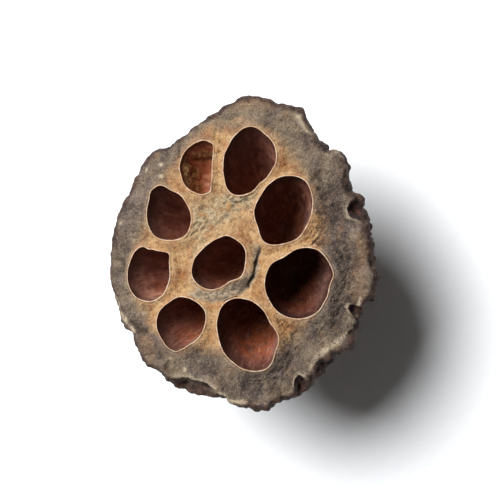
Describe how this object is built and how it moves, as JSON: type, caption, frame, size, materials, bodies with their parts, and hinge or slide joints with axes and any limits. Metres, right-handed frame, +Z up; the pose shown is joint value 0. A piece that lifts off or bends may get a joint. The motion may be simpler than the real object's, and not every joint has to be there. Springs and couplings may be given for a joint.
{
  "type": "dried lotus pod",
  "caption": "Dried lotus seed head cut flush under its cone, a domed face with open seed cells and a lobed, crinkled rim, standing on the cut end.",
  "frame": {"origin": "centre of the flush cut end of the stem, on the cut surface", "axes": "+Z up along the stem's axis towards the face with the cells, +Y along the widest way across the face, +X towards the broad side of the rim"},
  "size_m": [0.0588, 0.0668, 0.0358],
  "materials": {
    "dried_skin": "dull, wrinkled, dried plant skin"
  },
  "bodies": {
    "root": {"pod": "dried_skin"}
  },
  "joints": []
}
